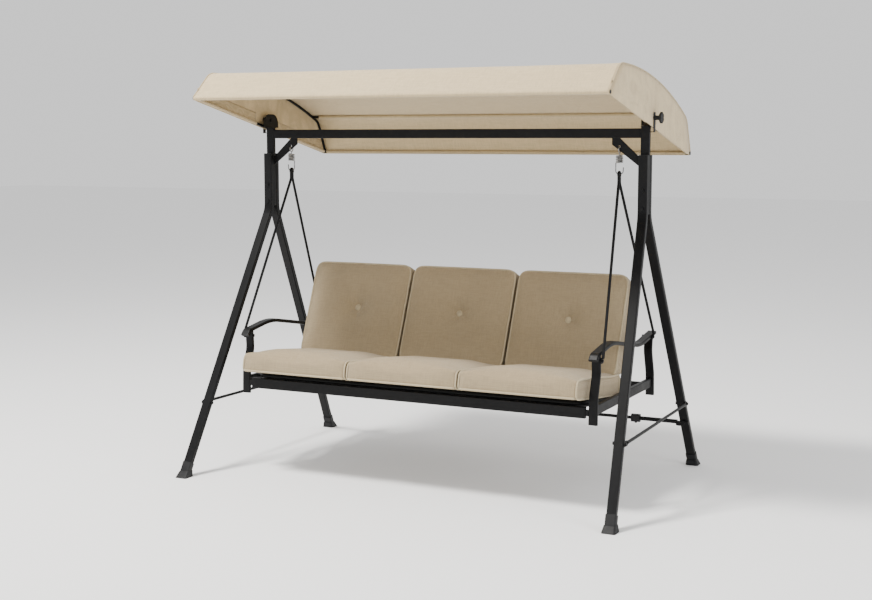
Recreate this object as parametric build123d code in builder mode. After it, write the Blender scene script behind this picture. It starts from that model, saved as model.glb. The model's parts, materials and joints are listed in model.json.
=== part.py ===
"""Canopy swing bench: an A-frame stand, a swinging seat whose back folds down, and a tilting canopy.

Millimetres. X runs along the bench, -Y is its front, +Z is up. The origin is on the floor,
in the middle of the four feet.
"""
import os
from math import atan2, cos, degrees, radians, sin, sqrt, tan

from build123d import *

os.makedirs("parts", exist_ok=True)

# ------------------------------------------------------------------ stand
tube_wall = 1.5
post_x = 915.0
post_width = 38.0
post_depth = 20.0
post_top = 1547.0
post_bottom = 1185.0
beam_top = 1540.0
beam_height = 40.0
leg_width = 40.0
leg_depth = 25.0
leg_corner = 4.0
leg_top = 1428.0
leg_bend = 1170.0
leg_bend_radius = 120.0
front_foot_x = 997.0
rear_foot_x = 973.0
foot_y = 620.0
foot_size = 59.0
foot_flare_height = 26.0
foot_sleeve_top = 60.0
foot_sleeve_wall = 3.0
foot_floor = 14.0
upper_bolt_height = 1284.0
bolt_above_bend = 7.9
gusset_thickness = 4.0
gusset_reach = 145.0
gusset_cut = 27.0
gusset_width = 35.0
gusset_drop = 84.0
crossbar_height = 220.0
crossbar_radius = 7.5
crossbar_end_radius = 9.5
crossbar_joint_x = 734.0
crossbar_overlap = 26.0
collar_width = 40.0
collar_height = 36.0
collar_depth = 26.0
end_plate_thickness = 4.0
end_plate_height = 26.0
stretcher_height = 312.0
stretcher_radius = 6.5
stretcher_eye_radius = 11.0
stretcher_gap = 1.2
stretcher_tongue = 24.0

# ------------------------------------------------------------------ fasteners
bolt_radius = 4.0
small_bolt_radius = 3.5
bolt_head_height = 5.0
hole_clearance = 0.25

# ------------------------------------------------------------------ canopy
pivot_height = 1583.0
canopy_tilt = 12.3
canopy_overhang = 33.7
canopy_half_length = post_x + canopy_overhang
canopy_half_chord = 578.0
hem_drop = 40.0
arch_height = 198.0
shoulder_chord = 470.0
shoulder_height = 146.0
shoulder_radius = 85.0
tip_radius = 8.0
fabric_thickness = 1.5
fabric_gap = 1.5
frame_tube_radius = 6.0
corner_bar_chord = 404.0
hem_lip = 22.0
lug_thickness = 4.0
lug_radius = 16.0
fabric_hole_radius = 12.0
plug_radius = 8.0
plug_length = 3.0

# canopy brackets and knobs
plate_thickness = 3.0
plate_half_depth = 61.0
plate_top = 1612.0
plate_corner = 45.0
strap_gap = 1.3
strap_depth = 20.0
strap_top = 1606.0
strap_base = 1524.0
knob_stem_radius = 9.5
knob_stem_length = 23.0
knob_radius = 23.5
knob_thickness = 9.0
knob_lobes = 6
knob_scallop_radius = 7.0
pivot_head_radius = 9.0
spacer_radius = 8.0

# ------------------------------------------------------------------ springs and hanger rods
spring_inset = 112.0
spring_x = post_x - spring_inset
hook_height = 1465.0
wire_radius = 2.25
ring_radius = 13.0
coil_top = 1428.0
coil_bottom = 1397.0
coil_radius = 15.75
coil_turns = 4
coil_steps = 6
hook_centre_height = 1366.0
hook_tip_length = 13.0
hook_tip_lean = 10.0
gusset_hole_radius = 4.6
rod_radius = 6.0
eye_hole_radius = 3.5
rod_rest_gap = 0.3
rod_weld_length = 26.0
rod_bend_radius = 30.0
rod_tip_radius = 12.0
rod_tip_thickness = 5.8
rod_tip_overlap = 9.5
rod_side_gap = 2.8

# ------------------------------------------------------------------ arms
arm_x = 830.0
arm_width = 40.0
arm_thickness = 16.0
arm_post_width = 38.0
arm_post_depth = 16.0
arm_corner = 5.0
arm_bend_radius = 400.0
arm_tip_radius = 24.0
arm_line = ((-367.0, 617.0), (-350.0, 636.0), (-170.0, 665.0), (195.0, 603.0), (408.0, 634.0))
front_post_line = ((-333.0, 637.0), (-326.0, 555.0), (-356.0, 465.0), (-360.0, 355.0))
rear_post_line = ((363.0, 624.0), (354.0, 560.0), (388.0, 455.0), (393.0, 355.0))
arm_post_bend_radius = 110.0
front_bolt = (-332.0, 612.0)
rear_bolt = (345.0, 624.8)
plug_flange = 2.0
plug_depth = 12.0

# ------------------------------------------------------------------ base frame and deck
front_rail_height = 46.0
rear_rail_height = 34.0
rail_depth = 20.0
front_rail_bottom = 378.0
rear_rail_top = 408.0
rail_end_x = 797.0
rail_end_height = 24.0
rail_end_depth = 14.0
side_rail_height = 40.0
side_rail_width = 20.0
side_rail_bottom = 390.0
deck_slope = 7.0
deck_front_y = -335.0
deck_front_height = 432.0
deck_tube_radius = 15.0
deck_half_length = 775.0
deck_depth = 423.0
deck_corner = 45.0
deck_slat_width = 34.0
slat_thickness = 3.0
deck_slat_count = 8
deck_slat_span = 1330.0
deck_tab_positions = (60.0, 366.0)
deck_tab_depth = 30.0
deck_tab_thickness = 8.0

# ------------------------------------------------------------------ back
fold_y = 112.0
fold_height = 402.0
recline = 22.5
hinge_positions = (-700.0, 0.0, 700.0)
hinge_lug_radius = 10.0
hinge_plate = 4.0
hinge_gap = 0.5
hinge_pin_radius = 4.9
hinge_clearance = 0.05
back_tube_radius = 11.0
back_frame_offset = -8.0
back_half_length = 755.0
back_bottom = 30.0
back_top = 480.0
back_corner = 60.0
back_slat_width = 34.0
back_slat_count = 7
back_slat_span = 1200.0
stay_radius = 5.0
stay_pivot = 175.0
stay_gap = 2.0
stay_reach = 251.0
stay_rest_gap = 0.5
stay_bend_radius = 40.0
stay_pin_length = 12.0

# ------------------------------------------------------------------ cushions
cushion_width = 528.0
cushion_pitch = 530.0
cushion_gap = 1.0
seat_front = -121.0
seat_rear = 416.0
seat_thickness = 93.0
seat_edge_radius = 14.0
back_cushion_start = 7.0
back_cushion_thickness = 108.0
back_cushion_top = 503.0
back_cushion_corner = 30.0
back_edge_radius = 10.0
cushion_rest_gap = 2.0
button_height = 290.0
button_radius = 12.0
button_thickness = 7.0
dimple_radius = 70.0
dimple_depth = 16.0


# ------------------------------------------------------------------ helpers
def write(piece, node):
    """Label a finished piece and write it to its own file."""
    piece.label = node
    export_step(piece, f"parts/{node}.step")


def write_pair(piece, node):
    """Write the right-hand piece, and its mirror image for the left."""
    write(piece, f"{node}_right")
    with BuildPart() as other_side:
        mirror(piece, about=Plane.YZ)
    write(other_side.part, f"{node}_left")


def write_both(piece, node):
    """Write the right-hand piece and its mirror image as one node."""
    with BuildPart() as both:
        add(piece)
        mirror(piece, about=Plane.YZ)
    write(both.part, node)


def side_points(line, x=arm_x):
    """Points of a side profile, given as (y, z), at one x."""
    return [(x, y, z) for y, z in line]


def route(points, radius):
    """Centre line through the points, with its corners rounded."""
    with BuildLine() as line:
        FilletPolyline(*points, radius=radius)
    return line.wires()[0]


def flat_tube(path, width, depth, corner, wall=tube_wall, x_dir=(1, 0, 0)):
    """Rectangular tube along a path; a wall of 0 gives the filled outer shape."""
    with BuildPart() as tube:
        with BuildSketch(Plane(origin=path @ 0, x_dir=x_dir, z_dir=path % 0)):
            RectangleRounded(width, depth, corner)
            if wall:
                RectangleRounded(width - 2 * wall, depth - 2 * wall, corner - wall, mode=Mode.SUBTRACT)
        sweep(path=path)
    return tube.part


def round_tube(path, radius, wall=tube_wall):
    """Round tube along a path; a wall of 0 gives a solid rod."""
    start = path % 0
    x_dir = (1, 0, 0) if abs(start.X) < 0.9 else (0, 1, 0)
    with BuildPart() as tube:
        with BuildSketch(Plane(origin=path @ 0, x_dir=x_dir, z_dir=start)):
            Circle(radius)
            if wall:
                Circle(radius - wall, mode=Mode.SUBTRACT)
        sweep(path=path)
    return tube.part


def across(x, y, z):
    """Plane facing +X at a point, for holes and bolts that run along the bench."""
    return Plane(origin=(x, y, z), x_dir=(0, 1, 0), z_dir=(1, 0, 0))


def backward(x, y, z):
    """Plane facing +Y at a point, for holes and bolts that run front to back."""
    return Plane(origin=(x, y, z), x_dir=(1, 0, 0), z_dir=(0, 1, 0))


def rod_solid(plane, radius, length):
    """Plain cylinder standing on a plane."""
    with BuildPart() as rod:
        with BuildSketch(plane):
            Circle(radius)
        extrude(amount=length)
    return rod.part


def bolt(plane, grip, radius=bolt_radius):
    """Bolt and nut clamping the grip that starts at the plane."""
    with BuildPart() as fastener:
        add(rod_solid(plane.offset(-bolt_head_height), 2 * radius, bolt_head_height))
        add(rod_solid(plane, radius, grip))
        with BuildSketch(plane.offset(grip)):
            RegularPolygon(1.9 * radius, 6)
        extrude(amount=bolt_head_height)
    return fastener.part


def tube_plug(plane, width, depth, corner):
    """Plug closing a rectangular tube that ends at the plane and runs below it."""
    fit = tube_wall + hole_clearance
    with BuildPart() as plug:
        with BuildSketch(plane):
            RectangleRounded(width, depth, corner)
        extrude(amount=plug_flange)
        with BuildSketch(plane):
            RectangleRounded(width - 2 * fit, depth - 2 * fit, corner - tube_wall)
        extrude(amount=-plug_depth)
    return plug.part


# ------------------------------------------------------------------ legs, posts and beam
leg_y = post_depth / 2 + leg_depth / 2
leg_reach = sqrt((front_foot_x - post_x) ** 2 + (foot_y - leg_y) ** 2)
bend_start = leg_bend + leg_bend_radius * tan(atan2(leg_reach, leg_bend) / 2)
leg_bolt_heights = (upper_bolt_height, bend_start + bolt_above_bend)


def leg_plane(side, foot_x):
    """Plane across a leg's sloping run where its centre line meets the floor; side is -1 in front."""
    foot = Vector(foot_x, side * foot_y, 0)
    up = (Vector(post_x, side * leg_y, leg_bend) - foot).normalized()
    turn = Axis((0, 0, 0), Vector(0, 0, 1).cross(up))
    x_dir = Vector(1, 0, 0).rotate(turn, up.get_angle(Vector(0, 0, 1)))
    return Plane(origin=foot, x_dir=x_dir, z_dir=up)


def leg_point(side, foot_x, height):
    """Point on the centre line of a leg's sloping run at a height."""
    plane = leg_plane(side, foot_x)
    return plane.origin + plane.z_dir * (height / plane.z_dir.Z)


def make_leg(side, foot_x, end_holes):
    """Bent leg tube with its bolt holes."""
    points = [(post_x, side * leg_y, leg_top), (post_x, side * leg_y, leg_bend),
              leg_point(side, foot_x, foot_floor)]
    with BuildPart() as leg:
        add(flat_tube(route(points, leg_bend_radius), leg_width, leg_depth, leg_corner))
        for height in leg_bolt_heights:
            hole = rod_solid(backward(post_x, side * leg_y - leg_depth, height),
                             bolt_radius + hole_clearance, 2 * leg_depth)
            add(hole, mode=Mode.SUBTRACT)
        for hole in end_holes:
            add(hole, mode=Mode.SUBTRACT)
    return leg.part


def make_foot(side, foot_x):
    """Moulded foot: a flared base and a sleeve around the end of the leg."""
    plane = leg_plane(side, foot_x)
    rise = 1 / plane.z_dir.Z
    sleeve_width = leg_width + 2 * foot_sleeve_wall
    sleeve_depth = leg_depth + 2 * foot_sleeve_wall
    flare_top = leg_point(side, foot_x, foot_flare_height)
    with BuildPart() as foot:
        with BuildSketch(Plane.XY):
            with Locations((foot_x, side * foot_y)):
                RectangleRounded(foot_size, foot_size, 9)
        with BuildSketch(Plane.XY.offset(foot_flare_height)):
            with Locations((flare_top.X, flare_top.Y)):
                RectangleRounded(sleeve_width + 2, sleeve_depth + 10, 7)
        loft()
        with BuildSketch(plane.offset(foot_floor * rise)):
            RectangleRounded(sleeve_width, sleeve_depth, leg_corner + foot_sleeve_wall)
        extrude(amount=(foot_sleeve_top - foot_floor) * rise)
        with BuildSketch(plane.offset(foot_floor * rise)):
            RectangleRounded(leg_width, leg_depth, leg_corner)
        extrude(amount=foot_sleeve_top * rise, mode=Mode.SUBTRACT)
    return foot.part


def stretcher_hole(side, foot_x):
    """Hole through a leg for a side stretcher's bolt."""
    at = leg_point(side, foot_x, stretcher_height)
    return rod_solid(across(at.X - leg_width, at.Y, at.Z), small_bolt_radius + hole_clearance, 2 * leg_width)


crossbar_at = leg_point(1, rear_foot_x, crossbar_height)
crossbar_hole = rod_solid(backward(crossbar_at.X, crossbar_at.Y - 2 * leg_depth, crossbar_height),
                          small_bolt_radius + hole_clearance, 4 * leg_depth)

write_pair(make_leg(-1, front_foot_x, [stretcher_hole(-1, front_foot_x)]), "front_leg")
write_pair(make_leg(1, rear_foot_x, [stretcher_hole(1, rear_foot_x), crossbar_hole]), "rear_leg")
write_pair(make_foot(-1, front_foot_x), "front_foot")
write_pair(make_foot(1, rear_foot_x), "rear_foot")

strap_x = canopy_half_length + strap_gap
post_outer = post_x + post_width / 2
with BuildPart() as top_post:
    with BuildSketch(Plane.XY.offset(post_bottom)):
        with Locations((post_x, 0)):
            RectangleRounded(post_width, post_depth, 3)
            RectangleRounded(post_width - 2 * tube_wall, post_depth - 2 * tube_wall, 3 - tube_wall,
                             mode=Mode.SUBTRACT)
    extrude(amount=post_top - post_bottom)
    for height in leg_bolt_heights:
        add(rod_solid(backward(post_x, -post_depth, height), bolt_radius + hole_clearance, 2 * post_depth),
            mode=Mode.SUBTRACT)
    with BuildSketch(Plane.XZ.offset(-strap_depth / 2)):
        with BuildLine():
            Polyline((post_outer - tube_wall / 2, strap_base), (strap_x + plate_thickness, strap_base),
                     (strap_x + plate_thickness, strap_top), (strap_x, strap_top),
                     (strap_x, strap_base + plate_thickness),
                     (post_outer - tube_wall / 2, strap_base + plate_thickness), close=True)
        make_face()
    extrude(amount=strap_depth)
    add(rod_solid(across(strap_x - plate_thickness, 0, pivot_height), bolt_radius + hole_clearance,
                  3 * plate_thickness), mode=Mode.SUBTRACT)
write_pair(top_post.part, "top_post")

post_inner = post_x - post_width / 2
with BuildPart() as top_beam:
    with BuildSketch(Plane.YZ.offset(-post_inner)):
        with Locations((0, beam_top - beam_height / 2)):
            RectangleRounded(post_depth, beam_height, 3)
            RectangleRounded(post_depth - 2 * tube_wall, beam_height - 2 * tube_wall, 3 - tube_wall,
                             mode=Mode.SUBTRACT)
    extrude(amount=2 * post_inner)
write(top_beam.part, "top_beam")

# Flat 45 degree brace under each end of the beam; the spring hooks through its hole.
beam_bottom = beam_top - beam_height
gusset_inner = post_x - gusset_reach
gusset_edge = gusset_inner + gusset_width
with BuildPart() as gusset:
    with BuildSketch(Plane.XZ.offset(-gusset_thickness / 2)):
        with BuildLine():
            Polyline((gusset_inner, beam_bottom), (gusset_edge, beam_bottom),
                     (post_inner, beam_bottom - gusset_drop), (post_inner, beam_bottom - gusset_drop - 38),
                     (gusset_inner, beam_bottom - gusset_cut), close=True)
        make_face()
        with Locations((spring_x, hook_height)):
            Circle(gusset_hole_radius, mode=Mode.SUBTRACT)
    extrude(amount=gusset_thickness)
write_both(gusset.part, "gussets")

with BuildPart() as leg_plugs:
    for side in (-1, 1):
        for face in (-1, 1):
            plane = Plane(origin=(side * post_x, face * leg_y, leg_top), z_dir=(0, 0, 1))
            add(tube_plug(plane, leg_width, leg_depth - 0.4, leg_corner))
write(leg_plugs.part, "leg_plugs")

# ------------------------------------------------------------------ rear crossbar
rear_plane = leg_plane(1, rear_foot_x)
crossbar_plate_at = crossbar_at - rear_plane.y_dir * (leg_depth / 2 + end_plate_thickness / 2)
crossbar_y = crossbar_plate_at.Y
with BuildPart() as crossbar_end:
    with BuildSketch(across(crossbar_joint_x, crossbar_y, crossbar_height)):
        Circle(crossbar_end_radius)
        Circle(crossbar_end_radius - tube_wall, mode=Mode.SUBTRACT)
    extrude(amount=crossbar_at.X - leg_width / 2 - crossbar_joint_x - 12)
    plate_plane = Plane(origin=crossbar_plate_at, x_dir=rear_plane.x_dir, z_dir=rear_plane.y_dir)
    with BuildSketch(plate_plane.offset(-end_plate_thickness / 2)):
        with Locations((-leg_width / 4, 0)):
            RectangleRounded(1.5 * leg_width, end_plate_height, 9)
    extrude(amount=end_plate_thickness)
    add(crossbar_hole, mode=Mode.SUBTRACT)
write_pair(crossbar_end.part, "rear_crossbar_end")

crossbar_half = crossbar_joint_x + crossbar_overlap
write(rod_solid(across(-crossbar_half, crossbar_y, crossbar_height), crossbar_radius, 2 * crossbar_half),
      "rear_crossbar_middle")

with BuildPart() as crossbar_collar:
    with BuildSketch(across(crossbar_joint_x - collar_width / 2, crossbar_y, crossbar_height)):
        RectangleRounded(collar_depth, collar_height, 7)
        Circle(crossbar_radius, mode=Mode.SUBTRACT)
    extrude(amount=collar_width)
    add(rod_solid(across(crossbar_joint_x, crossbar_y, crossbar_height), crossbar_end_radius, collar_width),
        mode=Mode.SUBTRACT)
write_both(crossbar_collar.part, "crossbar_collars")

# ------------------------------------------------------------------ side stretchers
stretcher_ends = []
for side, foot_x in ((-1, front_foot_x), (1, rear_foot_x)):
    at = leg_point(side, foot_x, stretcher_height)
    stretcher_ends.append(Vector(at.X + leg_width / 2 + stretcher_gap + end_plate_thickness / 2, at.Y, at.Z))

with BuildPart() as side_stretcher:
    run = (stretcher_ends[1] - stretcher_ends[0]).normalized()
    start = stretcher_ends[0] + run * stretcher_tongue
    stop = stretcher_ends[1] - run * stretcher_tongue
    with BuildLine() as stretcher_line:
        Line(start, stop)
    add(round_tube(stretcher_line.wires()[0], stretcher_radius))
    for end in stretcher_ends:
        inward = stretcher_eye_radius if end.Y < 0 else -stretcher_eye_radius
        with BuildSketch(across(end.X - end_plate_thickness / 2, end.Y + inward, end.Z)):
            SlotOverall(4 * stretcher_eye_radius, 2 * stretcher_eye_radius)
        extrude(amount=end_plate_thickness)
    for end in stretcher_ends:
        clear = rod_solid(across(end.X - 2 * leg_width, end.Y, end.Z), small_bolt_radius + hole_clearance,
                          3 * leg_width)
        add(clear, mode=Mode.SUBTRACT)
write_pair(side_stretcher.part, "side_stretcher")

with BuildPart() as frame_bolts:
    for side in (-1, 1):
        for height in leg_bolt_heights:
            grip_start = -(post_depth / 2 + leg_depth)
            add(bolt(backward(side * post_x, grip_start, height), -2 * grip_start))
        face_y = crossbar_at.Y - (leg_depth / 2 + end_plate_thickness) / rear_plane.y_dir.Y
        head = backward(side * crossbar_at.X, face_y - 2.4, crossbar_height)
        add(bolt(head, 2 * (crossbar_at.Y - face_y) + 2.4, small_bolt_radius))
        under = crossbar_height - collar_height / 2 - bolt_head_height
        screw = Plane(origin=(side * crossbar_joint_x, crossbar_y, under), z_dir=(0, 0, 1))
        add(rod_solid(screw, 1.6 * small_bolt_radius, bolt_head_height))
    for end in stretcher_ends:
        grip = leg_width + 2 * stretcher_gap + end_plate_thickness
        fastener = bolt(across(end.X + end_plate_thickness / 2 - grip, end.Y, end.Z), grip, small_bolt_radius)
        add(fastener)
        mirror(fastener, about=Plane.YZ)
write(frame_bolts.part, "frame_bolts")


# ------------------------------------------------------------------ canopy
def end_plane(x):
    """Plane across the canopy at x, centred on its pivot; its x runs down to the rear along the hem."""
    slope = radians(canopy_tilt)
    return Plane(origin=(x, 0, pivot_height), x_dir=(0, cos(slope), -sin(slope)), z_dir=(1, 0, 0))


hem_level = -hem_drop
shoulder_level = hem_level + shoulder_height
crown_level = hem_level + arch_height
arch_rise = arch_height - shoulder_height
arch_radius = (shoulder_chord ** 2 + arch_rise ** 2) / (2 * arch_rise)
end_slope = atan2(shoulder_height, canopy_half_chord - shoulder_chord)


def canopy_outline(inset=0.0, rounded_tips=True):
    """Side outline of the canopy: straight hem, steep ends, rounded shoulders, shallow arch."""
    with BuildSketch() as outline:
        with BuildLine():
            Polyline((-shoulder_chord, shoulder_level), (-canopy_half_chord, hem_level),
                     (canopy_half_chord, hem_level), (shoulder_chord, shoulder_level))
            ThreePointArc((shoulder_chord, shoulder_level), (0, crown_level),
                          (-shoulder_chord, shoulder_level))
        make_face()
        corners = outline.vertices().group_by(Axis.Y)
        fillet(corners[-1], shoulder_radius)
        if rounded_tips:
            fillet(outline.vertices().group_by(Axis.Y)[0], tip_radius)
        if inset:
            offset(amount=-inset, kind=Kind.INTERSECTION)
    return outline.sketch


with BuildPart() as canopy_fabric:
    inner_x = canopy_half_length - fabric_thickness
    with BuildSketch(end_plane(-canopy_half_length)):
        add(canopy_outline())
    extrude(amount=2 * canopy_half_length)
    with BuildSketch(end_plane(-inner_x)):
        add(canopy_outline(fabric_thickness))
    extrude(amount=2 * inner_x, mode=Mode.SUBTRACT)
    with BuildSketch(end_plane(-inner_x)):
        with Locations((0, hem_level)):
            Rectangle(2 * (canopy_half_chord - hem_lip), 4 * fabric_thickness)
    extrude(amount=2 * inner_x, mode=Mode.SUBTRACT)
    add(rod_solid(across(-2 * canopy_half_length, 0, pivot_height), fabric_hole_radius,
                  4 * canopy_half_length), mode=Mode.SUBTRACT)
write(canopy_fabric.part, "canopy_fabric")

frame_inset = fabric_thickness + fabric_gap + frame_tube_radius
end_frame_x = canopy_half_length - frame_inset + fabric_gap - 0.2
hem_bar_level = hem_level + frame_inset
tip_bar_chord = canopy_half_chord - frame_inset * (1 + cos(end_slope)) / sin(end_slope)
with BuildPart() as canopy_end_frame:
    with BuildSketch(end_plane(end_frame_x), mode=Mode.PRIVATE) as loop:
        add(canopy_outline(frame_inset, rounded_tips=False))
    hem_edge = loop.sketch.edges().filter_by(GeomType.LINE).sort_by(SortBy.LENGTH)[-1]
    arch = Wire([edge for edge in loop.sketch.edges() if edge.length < hem_edge.length - 1
                 or edge.geom_type != GeomType.LINE])
    add(round_tube(arch, frame_tube_radius, wall=0))
    add(round_tube(Wire([hem_edge]), frame_tube_radius, wall=0))
    for tip in (hem_edge @ 0, hem_edge @ 1):
        with Locations(tip):
            Sphere(frame_tube_radius)
    with BuildSketch(end_plane(end_frame_x - lug_thickness / 2)):
        Circle(lug_radius)
        with Locations((0, hem_bar_level / 2)):
            Rectangle(2 * lug_radius, -hem_bar_level)
        Circle(bolt_radius + hole_clearance, mode=Mode.SUBTRACT)
    extrude(amount=lug_thickness)
write_pair(canopy_end_frame.part, "canopy_end_frame")

corner_bar_level = crown_level - arch_radius + sqrt((arch_radius - frame_inset) ** 2 - corner_bar_chord ** 2)
bar_half_length = end_frame_x - frame_tube_radius
with BuildPart() as canopy_bars:
    for chord, level in ((-tip_bar_chord, hem_bar_level), (-corner_bar_chord, corner_bar_level),
                         (corner_bar_chord, corner_bar_level), (tip_bar_chord, hem_bar_level)):
        with BuildSketch(end_plane(-bar_half_length)):
            with Locations((chord, level)):
                Circle(frame_tube_radius)
                Circle(frame_tube_radius - tube_wall, mode=Mode.SUBTRACT)
        extrude(amount=2 * bar_half_length)
write(canopy_bars.part, "canopy_bars")

with BuildPart() as canopy_plugs:
    for x in (canopy_half_length, -canopy_half_length - plug_length):
        with BuildSketch(end_plane(x)):
            with Locations((-tip_bar_chord, hem_bar_level), (tip_bar_chord, hem_bar_level)):
                Circle(plug_radius)
        extrude(amount=plug_length)
write(canopy_plugs.part, "canopy_plugs")

# ------------------------------------------------------------------ canopy brackets and clamp knobs
with BuildPart() as canopy_bracket:
    with BuildSketch(Plane.XY.offset(post_top)):
        with Locations((post_x, 0)):
            RectangleRounded(post_width, post_depth + 8, 3)
    extrude(amount=plate_thickness)
    with BuildSketch(across(post_x - plate_thickness / 2, 0, post_top + plate_thickness)):
        with BuildLine():
            rise = plate_top - post_top - plate_thickness
            FilletPolyline((-plate_half_depth, 0), (-plate_half_depth, rise), (plate_half_depth, rise),
                           (plate_half_depth, 0), radius=plate_corner)
            Line((plate_half_depth, 0), (-plate_half_depth, 0))
        make_face()
    extrude(amount=plate_thickness)
    add(rod_solid(across(post_x - post_width, 0, pivot_height), bolt_radius + hole_clearance, post_width * 2),
        mode=Mode.SUBTRACT)
write_both(canopy_bracket.part, "canopy_brackets")

knob_start = strap_x + plate_thickness + 0.3
knob_face = knob_start + knob_stem_length
plate_outer = post_x + plate_thickness / 2
head_x = post_x - plate_thickness / 2 - bolt_head_height
spacer_length = end_frame_x - lug_thickness / 2 - 0.3 - plate_outer
with BuildPart() as pivot_bolt:
    add(rod_solid(across(head_x, 0, pivot_height), pivot_head_radius, bolt_head_height))
    add(rod_solid(across(head_x, 0, pivot_height), bolt_radius, knob_face - 2 - head_x))
    add(rod_solid(across(plate_outer, 0, pivot_height), spacer_radius, spacer_length))
write_both(pivot_bolt.part, "pivot_bolts")

with BuildPart() as clamp_knob:
    with BuildSketch(across(knob_start, 0, pivot_height)):
        Circle(knob_stem_radius)
    extrude(amount=knob_stem_length)
    with BuildSketch(across(knob_face, 0, pivot_height)):
        Circle(knob_radius)
        with PolarLocations(knob_radius + 0.55 * knob_scallop_radius, knob_lobes):
            Circle(knob_scallop_radius, mode=Mode.SUBTRACT)
    extrude(amount=knob_thickness)
    fillet(clamp_knob.faces().sort_by(Axis.X)[-1].edges(), 1.6)
    add(rod_solid(across(knob_start, 0, pivot_height), bolt_radius + hole_clearance, knob_stem_length - 1),
        mode=Mode.SUBTRACT)
write_pair(clamp_knob.part, "clamp_knob")

# ------------------------------------------------------------------ springs
ring_height = hook_height - ring_radius
hook_low = hook_centre_height - coil_radius


def spring_line():
    """Corners of the spring's wire, from the ring down the coil to the hook's tip, and their radii."""
    corners = coil_steps * coil_turns + coil_steps // 2
    points = [(spring_x, 0, ring_height - ring_radius), (spring_x, 0, coil_top)]
    for step in range(corners + 1):
        angle = radians(-360 * step / coil_steps)
        height = coil_top - (coil_top - coil_bottom) * step / corners
        points.append((spring_x + coil_radius * cos(angle), coil_radius * sin(angle), height))
    tip_x = spring_x + coil_radius + hook_tip_length * sin(radians(hook_tip_lean))
    points.append((spring_x - coil_radius, 0, hook_low))
    points.append((spring_x + coil_radius, 0, hook_low))
    points.append((tip_x, 0, hook_centre_height + hook_tip_length))
    end_radius = coil_radius / 4
    radii = [end_radius] * 2 + [coil_radius - end_radius] * (corners - 1)
    return points, radii + [end_radius, coil_radius - 0.5, coil_radius - 2.5]


wire_points, wire_radii = spring_line()
with BuildPart() as spring:
    with Locations(Location((spring_x, 0, ring_height), (0, 90, 0))):
        Torus(ring_radius, wire_radius)
    add(round_tube(route(wire_points, wire_radii), wire_radius, wall=0))
write_pair(spring.part, "spring")

# ------------------------------------------------------------------ hanger rods
eye_height = hook_low + wire_radius + rod_rest_gap - eye_hole_radius
eye_radius = eye_hole_radius + rod_radius
arm_outer = arm_x + arm_width / 2
rod_end_x = arm_outer + rod_radius + rod_side_gap
tip_x = arm_outer + 0.2
with BuildPart() as hanger_rod:
    with Locations(Location((spring_x, 0, eye_height), (0, 90, 0))):
        Torus(eye_radius, rod_radius)
    for y, z in (front_bolt, rear_bolt):
        side = -1 if y < 0 else 1
        near = side * (rod_radius + 0.1)
        points = [(spring_x, near, eye_height - eye_radius),
                  (spring_x, near, eye_height - eye_radius - rod_weld_length), (rod_end_x, y, z + rod_tip_overlap)]
        add(round_tube(route(points, rod_bend_radius), rod_radius, wall=0))
        add(rod_solid(across(tip_x, y, z), rod_tip_radius, rod_tip_thickness))
    for y, z in (front_bolt, rear_bolt):
        add(rod_solid(across(tip_x - 1, y, z), small_bolt_radius + hole_clearance, 4 * rod_tip_radius),
            mode=Mode.SUBTRACT)
write_pair(hanger_rod.part, "hanger_rod")

# ------------------------------------------------------------------ arms
arm_radii = [arm_tip_radius, arm_bend_radius, arm_bend_radius]
arm_path = route(side_points(arm_line), arm_radii)
arm_filled = flat_tube(arm_path, arm_width, arm_thickness, arm_corner, wall=0)
arm_inner = arm_x - arm_width / 2


def bolt_hole(place):
    """Hole along the bench through an arm or a post."""
    y, z = place
    return rod_solid(across(arm_inner - 5, y, z), small_bolt_radius + hole_clearance, arm_width + 10)


with BuildPart() as armrest:
    add(flat_tube(arm_path, arm_width, arm_thickness, arm_corner))
    add(bolt_hole(rear_bolt), mode=Mode.SUBTRACT)
write_pair(armrest.part, "armrest")

arm_post_paths = {}
for name, line in (("front", front_post_line), ("rear", rear_post_line)):
    path = route(side_points(line), arm_post_bend_radius if name == "front" else 90)
    arm_post_paths[name] = path
    with BuildPart() as arm_post:
        add(flat_tube(path, arm_post_width, arm_post_depth, arm_corner))
        add(arm_filled, mode=Mode.SUBTRACT)
        add(bolt_hole(front_bolt), mode=Mode.SUBTRACT)
    write_pair(arm_post.part, f"{name}_arm_post")

with BuildPart() as arm_plugs:
    for path, width, depth in ((arm_path, arm_width, arm_thickness),
                               (arm_post_paths["front"], arm_post_width, arm_post_depth),
                               (arm_post_paths["rear"], arm_post_width, arm_post_depth)):
        add(tube_plug(Plane(origin=path @ 1, x_dir=(1, 0, 0), z_dir=path % 1), width, depth, arm_corner))
    with BuildSketch(Plane(origin=arm_path @ 0, x_dir=(1, 0, 0), z_dir=-(arm_path % 0))):
        RectangleRounded(arm_width, arm_thickness, arm_corner)
    extrude(amount=plug_flange)
write_both(arm_plugs.part, "arm_plugs")

arm_post_inner = arm_x - arm_post_width / 2
arm_post_outer = arm_x + arm_post_width / 2
with BuildPart() as arm_bolts:
    for (y, z), start_x in ((front_bolt, arm_post_inner), (rear_bolt, arm_inner)):
        add(bolt(across(start_x, y, z), tip_x + rod_tip_thickness - start_x, small_bolt_radius))
write_both(arm_bolts.part, "arm_bolts")


# ------------------------------------------------------------------ base frame
def post_centre_y(name, height):
    """Centre of an arm post at a height of its straight foot."""
    (y_top, z_top), (y_foot, z_foot) = (front_post_line if name == "front" else rear_post_line)[-2:]
    return y_foot + (y_top - y_foot) * (height - z_foot) / (z_top - z_foot)


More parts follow.
